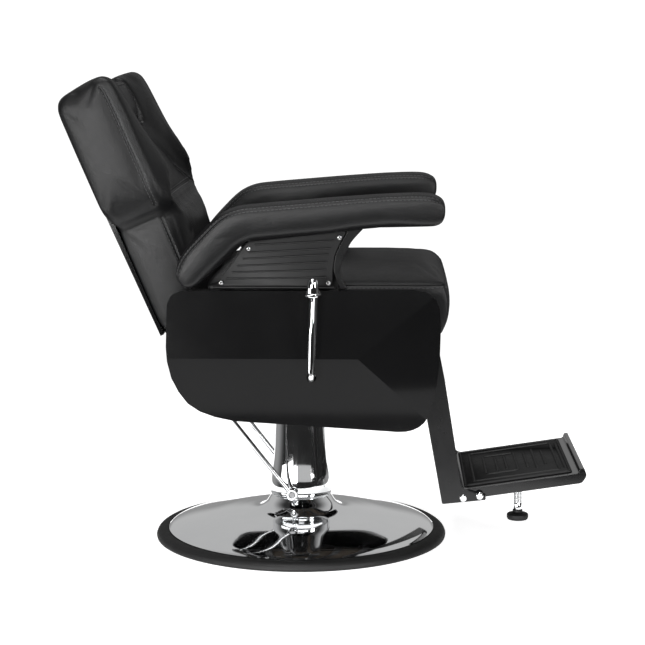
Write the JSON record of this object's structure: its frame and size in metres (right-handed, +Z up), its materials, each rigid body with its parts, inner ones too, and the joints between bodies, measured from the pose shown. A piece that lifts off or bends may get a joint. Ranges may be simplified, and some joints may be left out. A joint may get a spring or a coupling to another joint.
{
  "type": "hydraulic barber chair",
  "caption": "Reclining hydraulic barber chair with padded seat, winged backrest, armrests and linked footrest on a round pump base that lifts and swivels.",
  "frame": {"origin": "on the floor, on the axis of the pump column", "axes": "+X to the front of the chair, +Y to its left, +Z up"},
  "size_m": [1.0559, 0.6785, 0.98],
  "materials": {
    "leatherette": "satin black vinyl with fine grain over foam",
    "gloss_plastic": "gloss black moulded plastic",
    "matte_plastic": "satin black moulded plastic",
    "rubber": "matt black rubber",
    "chrome": "mirror chrome plate",
    "steel": "machined steel",
    "black_paint": "black powder coat",
    "plywood": "raw plywood"
  },
  "bodies": {
    "base": {"base_ring": "rubber", "base_disc": "chrome", "base_plate": "steel", "pump_block": "steel", "pump_cylinder": "steel", "cylinder_gland": "steel", "column_cover": "chrome"},
    "pump_lever": {"lever_shaft": "steel", "lever_rod": "chrome", "lever_grip": "rubber"},
    "lift": {"piston_rod": "chrome"},
    "recline_lever": {"recline_lever": "chrome", "recline_knob": "chrome"},
    "back": {"back_frame": "black_paint", "back_board": "plywood", "back_shell": "gloss_plastic", "back_cushion": "leatherette", "head_cushion": "leatherette", "wing_left": "leatherette", "wing_right": "leatherette", "back_hinge_shaft": "steel"},
    "headrest": {"headrest_pad": "leatherette", "headrest_bar": "steel"},
    "strut_rod": {"strut_rod": "steel"},
    "footrest": {"footrest_arm_left": "black_paint", "footrest_arm_right": "black_paint", "footrest_shaft": "black_paint", "footrest_tray": "gloss_plastic", "footrest_mat": "rubber", "footrest_screw_left_1": "chrome", "footrest_screw_left_2": "chrome", "footrest_screw_right_1": "chrome", "footrest_screw_right_2": "chrome"},
    "link_bar": {"link_bar": "black_paint"},
    "foot_stop": {"foot_stop_stem": "chrome", "foot_stop_pad": "rubber"},
    "seat": {"arm_bracket_left": "black_paint", "arm_bracket_right": "black_paint", "arm_pad_left": "leatherette", "arm_pad_right": "leatherette", "arm_plate_left": "matte_plastic", "arm_plate_right": "matte_plastic", "arm_plate_screw_left_1": "chrome", "arm_plate_screw_left_2": "chrome", "arm_plate_screw_left_3": "chrome", "arm_plate_screw_left_4": "chrome", "arm_plate_screw_right_1": "chrome", "arm_plate_screw_right_2": "chrome", "arm_plate_screw_right_3": "chrome", "arm_plate_screw_right_4": "chrome", "arm_support_left": "black_paint", "arm_support_right": "black_paint", "seat_board": "plywood", "seat_cushion": "leatherette", "seat_frame": "black_paint", "side_panel_left": "gloss_plastic", "side_panel_right": "gloss_plastic", "strut_cylinder": "black_paint", "swivel_hub": "black_paint"}
  },
  "joints": [
    {"name": "pump_lever_stroke", "type": "hinge", "parent": "base", "child": "pump_lever", "pos_m": [-0.0165, 0, 0.102], "axis": [0, -1, 0], "range_deg": [0, 22]},
    {"name": "height_slide", "type": "slide", "parent": "base", "child": "lift", "axis": [0, 0, 1], "range_m": [0, 0.15]},
    {"name": "swivel", "type": "hinge", "parent": "lift", "child": "seat", "pos_m": [0, 0, 0.37], "axis": [0, 0, 1], "continuous": true},
    {"name": "recline", "type": "hinge", "parent": "seat", "child": "back", "pos_m": [-0.205, 0, 0.455], "axis": [0, -1, 0], "range_deg": [0, 45]},
    {"name": "headrest_slide", "type": "slide", "parent": "back", "child": "headrest", "axis": [-0.3939, 0, 0.9191], "range_m": [0, 0.1]},
    {"name": "strut_slide", "type": "slide", "parent": "seat", "child": "strut_rod", "axis": [1, 0, 0], "range_m": [0, 0.0426]},
    {"name": "recline_lever_pull", "type": "hinge", "parent": "seat", "child": "recline_lever", "pos_m": [0.0332, -0.335, 0.3945], "axis": [0, -1, 0], "range_deg": [0, 25]},
    {"name": "footrest_swing", "type": "hinge", "parent": "seat", "child": "footrest", "pos_m": [0.262, 0, 0.435], "axis": [0, -1, 0], "range_deg": [0, 36.5]},
    {"name": "link_pivot", "type": "hinge", "parent": "footrest", "child": "link_bar", "pos_m": [0.24076, 0.1285, 0.36961], "axis": [0, -1, 0], "range_deg": [-36.5, 0]},
    {"name": "foot_stop_screw", "type": "slide", "parent": "footrest", "child": "foot_stop", "axis": [0, 0, -1], "range_m": [0, 0.03]}
  ],
  "couplings": [
    {"joint": "footrest_swing", "follows": "recline", "ratio": 0.8},
    {"joint": "link_pivot", "follows": "recline", "ratio": -0.8},
    {"joint": "strut_slide", "follows": "recline", "m_per_rad": 0.053597}
  ]
}
